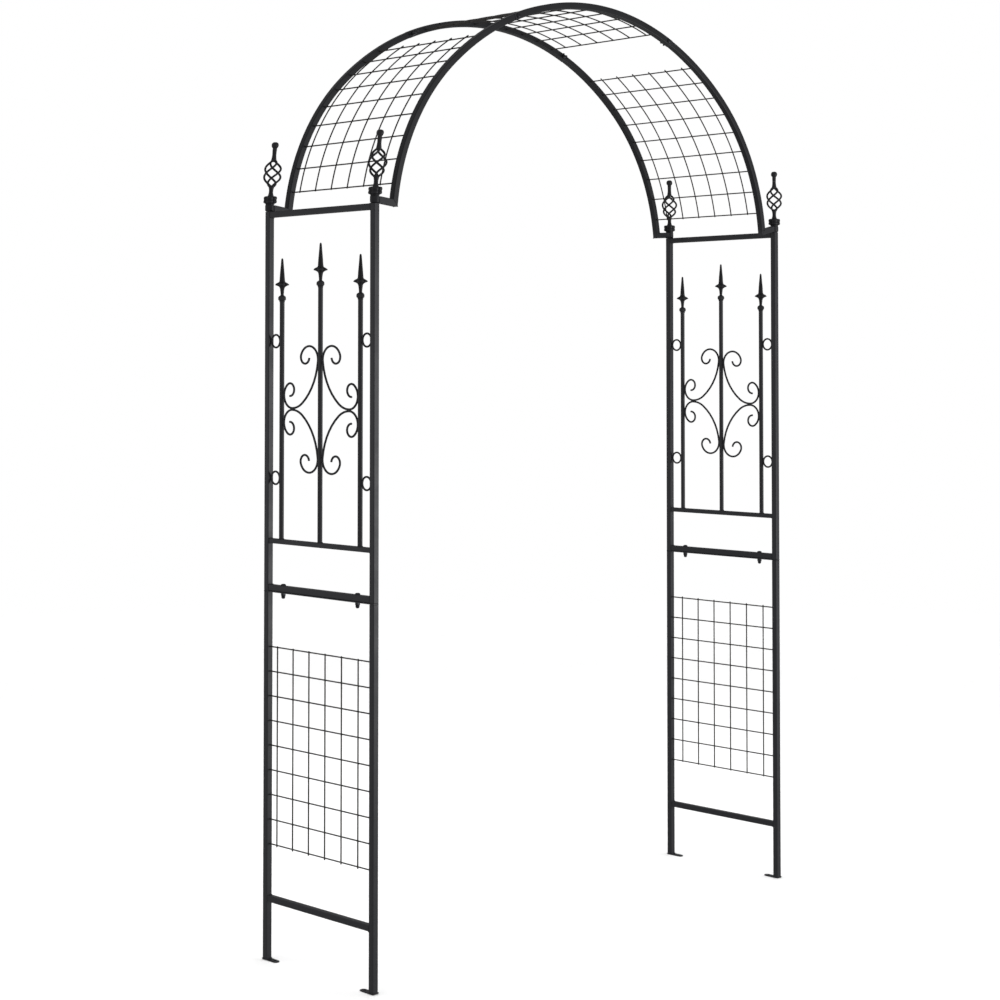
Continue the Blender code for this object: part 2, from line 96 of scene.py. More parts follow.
def makePowderCoat(name, look):
    material = bpy.data.materials.new(name)
    material.use_nodes = True
    tree = material.node_tree
    shader = tree.nodes["Principled BSDF"]
    place = addNode(tree, "ShaderNodeTexCoord").outputs["Object"]
    cloud = addNode(tree, "ShaderNodeTexNoise", {
        "Vector": place, "Scale": noiseScale(look["cloudSize"]), "Detail": 4.0, "Roughness": 0.6})
    tone = addNode(tree, "ShaderNodeValToRGB", {"Fac": cloud.outputs["Fac"]})
    tone.color_ramp.elements[0].position = 0.36
    tone.color_ramp.elements[0].color = hexColour(look["deepColour"])
    tone.color_ramp.elements[1].position = 0.64
    tone.color_ramp.elements[1].color = hexColour(look["colour"])
    speck = addNode(tree, "ShaderNodeTexNoise", {
        "Vector": place, "Scale": noiseScale(look["speckSize"]), "Detail": 2.0, "Roughness": 0.6})
    # convex corners, found by pointiness and broken up by fine speckle, take the lighter edge colour: a
    # painted highlight along the edges
    corner = addNode(tree, "ShaderNodeMapRange", {
        "Value": addNode(tree, "ShaderNodeNewGeometry").outputs["Pointiness"],
        "From Min": 0.515, "From Max": 0.60})
    paintedEdgeHighlight = addNode(tree, "ShaderNodeMath", {
        0: corner.outputs["Result"], 1: speck.outputs["Fac"]}, operation="MULTIPLY")
    edge = addNode(tree, "ShaderNodeMixRGB", {
        "Fac": paintedEdgeHighlight.outputs["Value"], "Color1": tone.outputs["Color"],
        "Color2": hexColour(look["edgeHighlightColour"])})
    tree.links.new(edge.outputs["Color"], shader.inputs["Base Color"])
    gloss = addNode(tree, "ShaderNodeMapRange", {
        "Value": cloud.outputs["Fac"], "From Min": 0.3, "From Max": 0.7,
        "To Min": look["roughness"] - 0.05, "To Max": look["roughness"] + 0.05})
    tree.links.new(gloss.outputs["Result"], shader.inputs["Roughness"])
    peel = addNode(tree, "ShaderNodeTexNoise", {
        "Vector": place, "Scale": noiseScale(look["peelSize"]), "Detail": 1.5, "Roughness": 0.5})
    pits = addNode(tree, "ShaderNodeTexVoronoi", {
        "Vector": place, "Scale": noiseScale(look["pitSize"])}, feature="SMOOTH_F1")
    height = addNode(tree, "ShaderNodeMath", {
        0: pits.outputs["Distance"], 1: look["pitShare"], 2: peel.outputs["Fac"]},
        operation="MULTIPLY_ADD")
    bump = addNode(tree, "ShaderNodeBump", {
        "Height": height.outputs["Value"], "Strength": look["bump"],
        "Distance": look["bumpHeight"] * millimetre})
    tree.links.new(bump.outputs["Normal"], shader.inputs["Normal"])
    shader.inputs["Metallic"].default_value = look.get("metallic", 0.0)
    return material


# Satin black polyester powder coat, sprayed dry and baked until it flows: a low satin gloss over a
# soft orange peel and a little blue; the corners of the tube carry a speckled painted highlight.
tubeCoat = makePowderCoat("satin black powder coat on steel tube", {
    "colour": "#222329", "deepColour": "#1b1c21", "edgeHighlightColour": "#55565c", "roughness": 0.42,
    "cloudSize": 60, "speckSize": 2.5, "peelSize": 2.2, "pitSize": 1.1, "pitShare": 0.25,
    "bump": 0.4, "bumpHeight": 0.12})        # real peel is about 1 mm, drawn twice as coarse to show
# The same coat on sand-cast iron: the grain of the mould shows through and it dulls the gloss.
castCoat = makePowderCoat("satin black powder coat on cast iron", {
    "colour": "#212227", "deepColour": "#17171a", "edgeHighlightColour": "#5a5a5e", "roughness": 0.46,
    "cloudSize": 14, "speckSize": 1.8, "peelSize": 1.8, "pitSize": 1.4, "pitShare": 0.9,
    "bump": 0.6, "bumpHeight": 0.25})
# On drawn mild-steel wire the film pulls thin, so it reads warmer and duller than on the tube.
wireCoat = makePowderCoat("satin black powder coat on drawn wire", {
    "colour": "#2a2725", "deepColour": "#201d1c", "edgeHighlightColour": "#4b4744", "roughness": 0.50,
    "cloudSize": 35, "speckSize": 1.6, "peelSize": 1.5, "pitSize": 0.9, "pitShare": 0.3,
    "bump": 0.3, "bumpHeight": 0.06})
# Weld metal under the coat stands in smooth ripples, so it catches the light more sharply.
weldCoat = makePowderCoat("satin black powder coat on weld metal", {
    "colour": "#202127", "deepColour": "#151518", "edgeHighlightColour": "#4e4f54", "roughness": 0.36,
    "cloudSize": 9, "speckSize": 1.2, "peelSize": 1.2, "pitSize": 0.8, "pitShare": 0.5,
    "bump": 0.4, "bumpHeight": 0.08})
# Black zinc plate on the steel fastenings: a thin passivated film, so it keeps a dull dark metal
# gleam; the corners carry a speckled painted highlight in pale grey.
boltZinc = makePowderCoat("black zinc plate on steel fastenings", {
    "colour": "#3a3b40", "deepColour": "#2a2b2f", "edgeHighlightColour": "#8a8b90", "roughness": 0.42,
    "cloudSize": 5, "speckSize": 1.0, "peelSize": 0.8, "pitSize": 0.6, "pitShare": 0.4,
    "bump": 0.25, "bumpHeight": 0.04, "metallic": 0.8})
print("finishes ready")


# Pieces and meshes

def addPiece(name, mesh, coat, slotName, *stoodFor):
    piece = bpy.data.objects.new(name, mesh)
    mesh.materials.clear()
    mesh.materials.append(coat)
    bpy.context.scene.collection.objects.link(piece)
    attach(piece, "root")
    if stoodFor:
        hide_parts(*stoodFor)
    return piece


def closeForm(form, name, crease=33, evenFlats=False):
    # a form as a closed mesh with its faces outwards and its sharp creases kept
    bmesh.ops.remove_doubles(form, verts=form.verts, dist=2e-7)
    bmesh.ops.recalc_face_normals(form, faces=form.faces)
    mesh = bpy.data.meshes.new(name)
    form.to_mesh(mesh)
    form.free()
    mesh.shade_smooth()
    mesh.set_sharp_from_angle(angle=radians(crease))
    return weighNormals(mesh) if evenFlats else mesh


def weighNormals(mesh):
    # keeps a tube's flats flat to the eye beside its rounded corners
    holder = bpy.data.objects.new("holder", mesh)
    bpy.context.scene.collection.objects.link(holder)
    modifier = holder.modifiers.new("Even", "WEIGHTED_NORMAL")
    modifier.keep_sharp = True
    graph = bpy.context.evaluated_depsgraph_get()
    result = bpy.data.meshes.new_from_object(holder.evaluated_get(graph))
    result.name = mesh.name
    bpy.data.objects.remove(holder)
    bpy.data.meshes.remove(mesh)
    return result


def addTube(name, form, node):
    addPiece(name, closeForm(form, name, evenFlats=True), tubeCoat, "frame_coat", node)


def evenly(first, last, count):
    return [first + (last - first) * k / (count - 1) for k in range(count)]


def squareOutline(size, radius=0.0018, steps=4):
    # a square with rounded corners, anticlockwise
    inner = size / 2 - radius
    outline = []
    for quarter, (x, y) in enumerate(((1, 1), (-1, 1), (-1, -1), (1, -1))):
        for k in range(steps + 1):
            angle = (quarter + k / steps) * pi / 2
            outline.append((x * inner + radius * cos(angle), y * inner + radius * sin(angle)))
    return outline


def roundOutline(radius, facets):
    return [(radius * cos(2 * pi * k / facets), radius * sin(2 * pi * k / facets))
            for k in range(facets)]


def layRing(form, centre, along, side, outline, scale=1.0, stretch=1.0):
    along = along.normalized()
    across = (side - along * side.dot(along)).normalized()
    up = along.cross(across)
    return [form.verts.new(centre + (across * a + up * b * stretch) * scale) for a, b in outline]


def skinRings(form, rings, closed=False):
    pairs = list(zip(rings, rings[1:])) + ([(rings[-1], rings[0])] if closed else [])
    for low, high in pairs:
        count = max(len(low), len(high))
        for k in range(count):
            after = (k + 1) % count
            if len(low) == 1:
                form.faces.new((low[0], high[after], high[k]))
            elif len(high) == 1:
                form.faces.new((low[k], low[after], high[0]))
            else:
                form.faces.new((low[k], low[after], high[after], high[k]))
    if not closed:
        for ring, way in ((rings[0], -1), (rings[-1], 1)):
            if len(ring) > 1:
                form.faces.new(ring[::way])
    return form


def layTube(form, path, outline, side, closed=False, ease=0.0004):
    # an outline carried along a path, with its end edges eased
    rings = []
    count = len(path)
    for index, point in enumerate(path):
        before = path[index - 1] if index or closed else point
        after = path[(index + 1) % count] if index < count - 1 or closed else point
        along = (after - before).normalized()
        if closed or index not in (0, count - 1):
            stretch = 1 / cos((point - before).angle(after - point) / 2)
            rings.append(layRing(form, point, along, side, outline, stretch=stretch))
            continue
        reach = max(abs(a) for a, b in outline)
        inward = along * ease * (1 if index == 0 else -1)
        tip = layRing(form, point, along, side, outline, scale=1 - ease / reach)
        body = layRing(form, point + inward, along, side, outline)
        rings += [tip, body] if index == 0 else [body, tip]
    return skinRings(form, rings, closed)


def sized(points, radius, height=1.0, base=0.0):
    # profile points given as shares of a radius and of a height above a base
    return [(radius * a, base + height * b, *share) for a, b, *share in points]


def turnForm(form, profile, facets, shape=None, halfStep=False):
    # a profile turned about the Z axis; each point is (radius, height) or (radius, height, share),
    # and shape(angle) scales the radius by that share
    rings = []
    for radius, height, *share in profile:
        if radius == 0:
            rings.append([form.verts.new((0, 0, height))])
            continue
        ring = []
        for k in range(facets):
            angle = 2 * pi * (k + (0.5 if halfStep else 0)) / facets
            reach = radius
            if shape and share:
                reach *= 1 + share[0] * (shape(angle) - 1)
            ring.append(form.verts.new((reach * cos(angle), reach * sin(angle), height)))
        rings.append(ring)
    return skinRings(form, rings)


def moveForm(form, matrix, verts=None):
    bmesh.ops.transform(form, matrix=matrix, verts=verts or form.verts)
    return form


def mouldSkin(form, depth, size, seed):
    # the slight unevenness of a sand casting, in the shape itself
    for vertex in form.verts:
        push = noise.noise_vector(vertex.co / size + Vector((seed * 3.1, seed * 1.7, 0)))
        vertex.co += push * depth


# Node trees for what repeats or follows a path

def startTree(name, inputs):
    tree = bpy.data.node_groups.new(name, "GeometryNodeTree")
    tree.interface.new_socket("Geometry", in_out="INPUT", socket_type="NodeSocketGeometry")
    for label, kind, value in inputs:
        socket = tree.interface.new_socket(label, in_out="INPUT", socket_type="NodeSocket" + kind)
        socket.default_value = value
    tree.interface.new_socket("Coat", in_out="INPUT", socket_type="NodeSocketMaterial")
    tree.interface.new_socket("Geometry", in_out="OUTPUT", socket_type="NodeSocketGeometry")
    return tree, addNode(tree, "NodeGroupInput").outputs


def endTree(tree, geometry, given):
    smooth = addNode(tree, "GeometryNodeSetShadeSmooth", {"Geometry": geometry})
    real = addNode(tree, "GeometryNodeRealizeInstances", {"Geometry": smooth.outputs["Geometry"]})
    coated = addNode(tree, "GeometryNodeSetMaterial", {
        "Geometry": real.outputs["Geometry"], "Material": given["Coat"]})
    addNode(tree, "NodeGroupOutput", {"Geometry": coated.outputs["Geometry"]})
    return tree


def growMesh(name, tree, seedMesh, coat, sizes):
    # runs a tree on a seed mesh and keeps the result as a plain mesh
    holder = bpy.data.objects.new(name, seedMesh)
    bpy.context.scene.collection.objects.link(holder)
    modifier = holder.modifiers.new("Grow", "NODES")
    modifier.node_group = tree
    for item in tree.interface.items_tree:
        if item.in_out == "INPUT" and item.name in sizes:
            modifier[item.identifier] = sizes[item.name]
        elif item.in_out == "INPUT" and item.name == "Coat":
            modifier[item.identifier] = coat
    graph = bpy.context.evaluated_depsgraph_get()
    grown = bpy.data.meshes.new_from_object(holder.evaluated_get(graph))
    grown.name = name
    holder.modifiers.clear()
    bpy.data.objects.remove(holder)
    bpy.data.meshes.remove(seedMesh)
    grown.set_sharp_from_angle(angle=radians(50))
    return grown


def lineMesh(lines):
    # each line is a list of points joined by edges; a lone point stays a vertex
    points, edges = [], []
    for line in lines:
        edges += [(len(points) + k, len(points) + k + 1) for k in range(len(line) - 1)]
        points += [tuple(point) for point in line]
    mesh = bpy.data.meshes.new("lines")
    mesh.from_pydata(points, edges, [])
    return mesh


def makeWireTree():
    # round wire drawn along every line
    tree, given = startTree("Round wire along lines", [
        ("Wire Radius", "Float", 0.0014), ("Facets", "Int", 10)])
    route = addNode(tree, "GeometryNodeMeshToCurve", {"Mesh": given["Geometry"]})
    ring = addNode(tree, "GeometryNodeCurvePrimitiveCircle", {
        "Resolution": given["Facets"], "Radius": given["Wire Radius"]})
    drawn = addNode(tree, "GeometryNodeCurveToMesh", {
        "Curve": route.outputs["Curve"], "Profile Curve": ring.outputs["Curve"], "Fill Caps": True})
    return endTree(tree, drawn.outputs["Mesh"], given)


def makeWeldTree():
    # overlapping drops of weld metal along lines, and one on each lone point
    tree, given = startTree("Weld drops", [
        ("Drop Radius", "Float", 0.0016), ("Spacing", "Float", 0.0014), ("Seed", "Int", 3),
        ("Segments", "Int", 8), ("Rings", "Int", 5)])
    route = addNode(tree, "GeometryNodeMeshToCurve", {"Mesh": given["Geometry"]})
    dots = addNode(tree, "GeometryNodeCurveToPoints", {
        "Curve": route.outputs["Curve"], "Length": given["Spacing"]}, mode="LENGTH")
    edgesHere = addNode(tree, "GeometryNodeInputMeshVertexNeighbors").outputs["Vertex Count"]
    isLone = addNode(tree, "FunctionNodeCompare", {2: edgesHere, 3: 0}, data_type="INT",
                     operation="EQUAL")
    spots = addNode(tree, "GeometryNodeMeshToPoints", {
        "Mesh": given["Geometry"], "Selection": isLone.outputs["Result"]})
    every = addNode(tree, "GeometryNodeJoinGeometry")
    tree.links.new(dots.outputs["Points"], every.inputs[0])
    tree.links.new(spots.outputs["Points"], every.inputs[0])
    drop = addNode(tree, "GeometryNodeMeshUVSphere", {
        "Segments": given["Segments"], "Rings": given["Rings"], "Radius": given["Drop Radius"]})
    turn = addNode(tree, "FunctionNodeRandomValue", {
        0: (0.0, 0.0, 0.0), 1: (pi, pi, pi), "Seed": given["Seed"]}, data_type="FLOAT_VECTOR")
    size = addNode(tree, "FunctionNodeRandomValue", {
        0: (0.85, 0.80, 0.72), 1: (1.20, 1.15, 1.00), "Seed": given["Seed"]}, data_type="FLOAT_VECTOR")
    laid = addNode(tree, "GeometryNodeInstanceOnPoints", {
        "Points": every.outputs["Geometry"], "Instance": drop.outputs["Mesh"],
        "Rotation": turn.outputs[0], "Scale": size.outputs[0]})
    return endTree(tree, laid.outputs["Instances"], given)


def makeBasketTree():
    # wires that spiral up from a neck, swell out quickly and close on a neck again
    tree, given = startTree("Twisted basket", [
        ("Base", "Float", 0.04), ("Top", "Float", 0.10), ("Belly", "Float", 0.02),
        ("Neck", "Float", 0.004), ("Fullness", "Float", 2.5), ("Twist", "Float", 4.0),
        ("Start Turn", "Float", 1.1), ("Wires", "Int", 4), ("Wire Radius", "Float", 0.002),
        ("Facets", "Int", 10), ("Steps", "Int", 40)])
    core = addNode(tree, "GeometryNodeCurvePrimitiveLine", {"Start": (0, 0, 0), "End": (0, 0, 1)})
    fine = addNode(tree, "GeometryNodeResampleCurve", {
        "Curve": core.outputs["Curve"], "Count": given["Steps"]}, mode="COUNT")
    share = addNode(tree, "GeometryNodeSplineParameter").outputs["Factor"]
    fromMiddle = addNode(tree, "ShaderNodeMapRange", {"Value": share, "To Min": -1.0, "To Max": 1.0})
    eitherWay = addNode(tree, "ShaderNodeMath", {0: fromMiddle.outputs["Result"]}, operation="ABSOLUTE")
    drawnIn = addNode(tree, "ShaderNodeMath", {
        0: eitherWay.outputs["Value"], 1: given["Fullness"]}, operation="POWER")
    reach = addNode(tree, "ShaderNodeMapRange", {
        "Value": drawnIn.outputs["Value"], "To Min": given["Belly"], "To Max": given["Neck"]})
    height = addNode(tree, "ShaderNodeMapRange", {
        "Value": share, "To Min": given["Base"], "To Max": given["Top"]})
    angle = addNode(tree, "ShaderNodeMapRange", {"Value": share, "To Min": 0.0, "To Max": given["Twist"]})
    outward = addNode(tree, "ShaderNodeCombineXYZ", {
        "X": reach.outputs["Result"], "Z": height.outputs["Result"]})
    spot = addNode(tree, "ShaderNodeVectorRotate", {
        "Vector": outward.outputs["Vector"], "Angle": angle.outputs["Result"]}, rotation_type="Z_AXIS")
    bent = addNode(tree, "GeometryNodeSetPosition", {
        "Geometry": fine.outputs["Curve"], "Position": spot.outputs["Vector"]})
    ring = addNode(tree, "GeometryNodeCurvePrimitiveCircle", {
        "Resolution": given["Facets"], "Radius": given["Wire Radius"]})
    wire = addNode(tree, "GeometryNodeCurveToMesh", {
        "Curve": bent.outputs["Geometry"], "Profile Curve": ring.outputs["Curve"], "Fill Caps": True})
    starts = addNode(tree, "GeometryNodePoints", {"Count": given["Wires"]})
    index = addNode(tree, "GeometryNodeInputIndex").outputs["Index"]
    apart = addNode(tree, "ShaderNodeMath", {0: 2 * pi, 1: given["Wires"]}, operation="DIVIDE")
    begun = addNode(tree, "ShaderNodeMath", {
        0: index, 1: apart.outputs["Value"], 2: given["Start Turn"]}, operation="MULTIPLY_ADD")
    turn = addNode(tree, "ShaderNodeCombineXYZ", {"Z": begun.outputs["Value"]})
    laid = addNode(tree, "GeometryNodeInstanceOnPoints", {
        "Points": starts.outputs["Points"], "Instance": wire.outputs["Mesh"],
        "Rotation": turn.outputs["Vector"]})
    return endTree(tree, laid.outputs["Instances"], given)


wireTree, weldTree, basketTree = makeWireTree(), makeWeldTree(), makeBasketTree()
print("node trees ready")


# Welds are gathered while the pieces are made, and laid at the end in one piece for each area

weldLines = {area: [] for area in ("left_side", "right_side", "arch")}
wireSpots = {area: [] for area in weldLines}


def squareWeld(centre, half, first, second):
    # a line of weld round the end of a square bar
    walk = [(1, 1), (-1, 1), (-1, -1), (1, -1), (1, 1)]
    return [centre + first * (a * half) + second * (b * half) for a, b in walk]


# Posts, with flat feet bent inwards under them

foot = {"width": 0.0155, "thickness": 0.0021, "reach": 0.040, "holeBack": 0.012, "holeRadius": 0.0034,
        "easing": 0.0005}


def footForm(form, x, y, inward):
    half = foot["width"] / 2
    roundCentre = foot["reach"] - half
    edge = [(-postSize / 2, -half), (roundCentre, -half)]
    edge += [(roundCentre + half * sin(pi * k / 16), -half * cos(pi * k / 16)) for k in range(1, 17)]
    edge.append((-postSize / 2, half))
    holeCentre = foot["reach"] - foot["holeBack"]
    hole = [(holeCentre + a, b) for a, b in roundOutline(foot["holeRadius"], 20)]
    sheets = []
    for height in (0, foot["thickness"]):
        loops = []
        for outline in (edge, hole):
            loops.append([form.verts.new((x + b, y + inward * a, height)) for a, b in outline])
        rims = [form.edges.new((loop[k], loop[(k + 1) % len(loop)]))
                for loop in loops for k in range(len(loop))]
        bmesh.ops.triangle_fill(form, edges=rims, use_beauty=True)
        sheets.append(loops)
    walls = []
    for low, high in zip(*sheets):
        for k in range(len(low)):
            after = (k + 1) % len(low)
            walls.append(form.faces.new((low[k], low[after], high[after], high[k])))
    rims = list(dict.fromkeys(edge for wall in walls for edge in wall.edges
                              if abs(edge.verts[0].co.z - edge.verts[1].co.z) < 1e-6))
    bmesh.ops.bevel(form, geom=rims, offset=foot["easing"], segments=2, profile=0.5,
                    affect="EDGES")


for side, end in corners:
    x, y = sideSign[side] * postX, endSign[end] * postY
    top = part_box(f"{side}_{end}_lower_post")[1].z
    form = bmesh.new()
    footForm(form, x, y, -endSign[end])
    layTube(form, [Vector((x, y, foot["thickness"] - 0.0006)), Vector((x, y, top))],
            squareOutline(postSize), acrossWay)
    addTube(f"{side}_{end}_foot_post", form, f"{side}_{end}_lower_post")
    weld = squareWeld(Vector((x, y, foot["thickness"])), postSize / 2 + 0.0002, acrossWay, alongWay)
    weldLines[side + "_side"].append(weld[1 if y < 0 else 0:])

    low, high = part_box(f"{side}_{end}_upper_post")
    form = layTube(bmesh.new(), [Vector((x, y, low.z)), Vector((x, y, high.z))],
                   squareOutline(postSize), acrossWay)
    addTube(f"{side}_{end}_arch_post", form, f"{side}_{end}_upper_post")
print("posts ready")


# Rails between the posts, and the flat strap under each middle rail

for side in sideSign:
    x = sideSign[side] * postX
    for rail in ("bottom_rail", "middle_rail", "rod_rail", "top_rail"):
        low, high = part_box(f"{side}_{rail}")
        size, height = high.z - low.z, (low.z + high.z) / 2
        form = layTube(bmesh.new(), [Vector((x, low.y, height)), Vector((x, high.y, height))],
                       squareOutline(size, 0.0017), acrossWay)
        addTube(f"{side}_{rail}_tube", form, f"{side}_{rail}")
        for end in (-1, 1):
            weldLines[side + "_side"].append(squareWeld(
                Vector((x, end * (postFace - 0.0003), height)), size / 2 - 0.0002, acrossWay, upWay))
    low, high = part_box(f"{side}_strap")
    flat = [(a, b * (high.z - low.z) / postSize) for a, b in squareOutline(postSize, 0.0020)]
    height = (low.z + high.z) / 2
    form = layTube(bmesh.new(), [Vector((x, low.y, height)), Vector((x, high.y, height))], flat, acrossWay)
    addTube(f"{side}_joint_strap", form, f"{side}_strap")
print("rails ready")


# Spear rods: round bar with a cast head of knob, waisted neck, four-petal guard and blunt spike

spear = {"rodRadius": 0.0055, "collarRadius": 0.0064, "neckRadius": 0.0036, "guardRadius": 0.0160,
         "spikeRadius": 0.0061, "knobRadius": 0.0091, "petalDip": 0.0006, "skinDepth": 0.00022,
         "skinSize": 0.004, "headHeight": 0.0915, "rodToPost": 0.0463}


def petals(angle):
    # four rounded petals with creases between them, their tips on the diagonals
    return 0.66 + 0.34 * abs(sin(2 * angle)) ** 0.55


def spearForm(base, knob, seed):
    form = bmesh.new()
    turnForm(form, [(spear["rodRadius"] - 0.0003, base), (spear["rodRadius"], base + 0.0003),
                    (spear["rodRadius"], knob - 0.0030)], 28)
    rodCount = len(form.verts)
    neck, guard, spike = spear["neckRadius"], spear["guardRadius"], spear["spikeRadius"]
    profile = sized([(1.02, 0.0040), (1.02, 0.0085), (1.10, 0.0130), (1.22, 0.0175), (1.36, 0.0215),
                     (1.60, 0.0246), (2.10, 0.0268, 0.3)], neck)
    profile += sized([(0.66, 0.0286, 0.8), (0.86, 0.0299, 1.0), (0.97, 0.0307, 1.0), (1, 0.0316, 1.0),
                      (0.97, 0.0326, 1.0), (0.88, 0.0340, 1.0), (0.74, 0.0353, 1.0),
                      (0.58, 0.0364, 0.9), (0.46, 0.0374, 0.5)], guard)
    profile += sized([(1.08, 0.0390, 0.1), (1.02, 0.0412), (0.96, 0.0460), (0.84, 0.0565), (0.69, 0.0670),
                      (0.53, 0.0780), (0.42, 0.0868), (0.35, 0.0898), (0.19, 0.0911),
                      (0, spear["headHeight"])], spike)
    turnForm(form, profile, 40, petals)
    head = list(form.verts)[rodCount:]
    for vertex in head:
        reach = (vertex.co.x ** 2 + vertex.co.y ** 2) ** 0.5
        if reach > spike * 1.3:              # petal tips hang lower than the roots
            vertex.co.z -= spear["petalDip"] * ((reach - spike) / (guard - spike)) ** 2
    knobProfile = sized([(0.9, -0.0085), (1, -0.0078), (1, -0.0056), (1.05, -0.0050)], spear["collarRadius"])
    knobProfile += sized([(0.94, -0.0036), (1, -0.0018), (1, 0.0022), (0.86, 0.0046)], spear["knobRadius"])
    knobProfile += sized([(1.5, 0.0064), (1.15, 0.0072)], neck)
    turnForm(form, knobProfile, 9, halfStep=True)
    cast = list(form.verts)[rodCount:]
    for vertex in cast:
        push = noise.noise_vector(vertex.co / spear["skinSize"] + Vector((seed, 2 * seed, 0)))
        vertex.co += push * spear["skinDepth"]
        vertex.co.z += knob
    return form


def ringForm(form, centre, radius, wire):
    path = [centre + alongWay * a + upWay * b for a, b in roundOutline(radius, 36)]
    return layTube(form, path, roundOutline(wire, 10), acrossWay, closed=True)


rings = {"wireRadius": 0.0023, "heights": (1.0895, 1.4005), "bite": 0.0006}
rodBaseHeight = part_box("left_rod_rail")[1].z + 0.0002
rodToRod = postY - spear["rodToPost"]    # from the centre rod's axis to an outer rod's

for side in sideSign:
    x = sideSign[side] * postX
    welds = weldLines[side + "_side"]
    for name in ("centre_rod", "front_rod", "rear_rod"):
        low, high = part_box(f"{side}_{name}")
        rodY = {"centre_rod": 0, "front_rod": -1, "rear_rod": 1}[name] * rodToRod
        knob = high.z - spear["headHeight"]
        form = spearForm(low.z, knob, 7 * x + rodY)
        moveForm(form, Matrix.Translation((x, rodY, 0)))
        welds.append([Vector((x + a, rodY + b, rodBaseHeight)) for a, b in
                      roundOutline(spear["rodRadius"] + 0.0003, 12) + [(spear["rodRadius"] + 0.0003, 0)]])
        if rodY:
            way = 1 if rodY > 0 else -1
            near = abs(rodY) + spear["rodRadius"] - rings["bite"]
            far = postFace - 0.0003
            for height in rings["heights"]:
                centre = Vector((x, way * (near + far) / 2, height))
                ringForm(form, centre, (far - near) / 2 - rings["wireRadius"], rings["wireRadius"])
                wireSpots[side + "_side"] += [
                    [Vector((x + lean, way * reach, height + lift))] for reach in (near + 0.0004, far)
                    for lift in (-0.0022, 0.0022) for lean in (-0.0012, 0.0012)]
        addPiece(f"{side}_{name}_spear", closeForm(form, name, crease=30), castCoat, "cast_coat",
                 f"{side}_{name}")
print("spear rods ready")


# Scrolls: a C of round wire above and below each weld, its two ends rolled

scroll = {"wireRadius": 0.0025, "facets": 12, "step": 7, "bite": 0.0006, "rodRadius": 0.0055,
          # stretches as radius in metres and turn in degrees, from the weld outwards
          "towardsCentre": ((0.0598, 36.3), (0.1364, 47.2), (0.0306, 163.8), (0.0149, 195.0)),
          "towardsPost": ((0.0292, 148.5), (0.0144, 215.0))}


def rollLine(heading, stretches, turnSign):
    points = [Vector((0, 0))]
    for radius, turn in stretches:
        count = ceil(turn / scroll["step"])
        first = points[-1]
        centre = first + Vector((-sin(heading), cos(heading))) * turnSign * radius
        for k in range(1, count + 1):
            angle = radians(turn) * k / count * turnSign
            arm = first - centre
            points.append(centre + Vector((arm.x * cos(angle) - arm.y * sin(angle),
                                           arm.x * sin(angle) + arm.y * cos(angle))))
        heading += radians(turn) * turnSign
    return points


def scrollLine():
    # (distance from the centre rod's axis, height above the weld), and where the weld is on it
    inward = rollLine(pi, scroll["towardsCentre"], -1)
    outward = rollLine(0, scroll["towardsPost"], 1)
    points = outward[::-1] + inward[1:]
    near, far = min(p.x for p in points), max(p.x for p in points)
    clear = scroll["rodRadius"] + scroll["wireRadius"] + 0.0003
    scale = (rodToRod - 2 * clear) / (far - near)
    rise = scroll["wireRadius"] - scroll["bite"]
    line = [Vector((clear + (p.x - near) * scale, rise + p.y * scale)) for p in points]
    return line, clear - near * scale


scrollPoints, scrollWeld = scrollLine()
nearestPoint = min(scrollPoints, key=lambda p: p.x)
farthestPoint = max(scrollPoints, key=lambda p: p.x)

for side, end in corners:
    x, way = sideSign[side] * postX, endSign[end]
    height = middleOf(f"{side}_{end}_scrolls").z
    form = bmesh.new()
    for flip in (1, -1):
        path = [Vector((x, way * p.x, height + flip * p.y)) for p in scrollPoints]
        layTube(form, path, roundOutline(scroll["wireRadius"], scroll["facets"]), acrossWay,
                ease=0.0003)
    addPiece(f"{side}_{end}_scroll_pair", closeForm(form, "scroll_pair", crease=45), tubeCoat,
             "frame_coat", f"{side}_{end}_scrolls")
    area = weldLines[side + "_side"]
    for lean in (-0.0014, 0.0014):
        area.append([Vector((x + lean, way * (scrollWeld - 0.004), height)),
                     Vector((x + lean, way * (scrollWeld + 0.004), height))])
        for flip in (1, -1):
            for point, touch in ((nearestPoint, -0.0024), (farthestPoint, 0.0024)):
                spot = Vector((x + lean, way * (point.x + touch), height + flip * point.y))
                area.append([spot - upWay * 0.003, spot + upWay * 0.003])
print("scrolls ready")


# The arch, measured from the foot of a leg up to the middle of the crown

archLine = {"inset": 0.055, "footLean": 7.3, "haunchRadius": 0.517, "haunchTurn": 40.9,
            "crownHalf": 0.287, "boltBack": 0.012}
# each foot of the arch has sunk a little, so its bar slopes down from the boss
footDrop = {"left_front": 0.0045, "left_rear": 0.0055, "right_front": 0.0100, "right_rear": 0.0027}
bossSize = {"overhang": 0.0032, "easing": 0.0016, "under": 0.0045}    # its underside is well rounded
crownTube = {"size": 0.016, "wall": 0.0011, "recess": 0.016}
legNeck = {"size": 0.0130, "length": 0.013}

footHeight = postTop + 0.0003 + postSize / 2
footX = postX - archLine["inset"]
haunchStart = radians(archLine["footLean"])
haunchEnd = haunchStart + radians(archLine["haunchTurn"])
haunchRadius = archLine["haunchRadius"]
haunchLength = haunchRadius * radians(archLine["haunchTurn"])
haunchX = footX - haunchRadius * cos(haunchStart)
haunchZ = footHeight - haunchRadius * sin(haunchStart)
crownRadius = (haunchX + haunchRadius * cos(haunchEnd)) / cos(haunchEnd)
crownZ = haunchZ + haunchRadius * sin(haunchEnd) - crownRadius * sin(haunchEnd)
archHalf = haunchLength + crownRadius * (pi / 2 - haunchEnd)
jointAt = archHalf - archLine["crownHalf"]


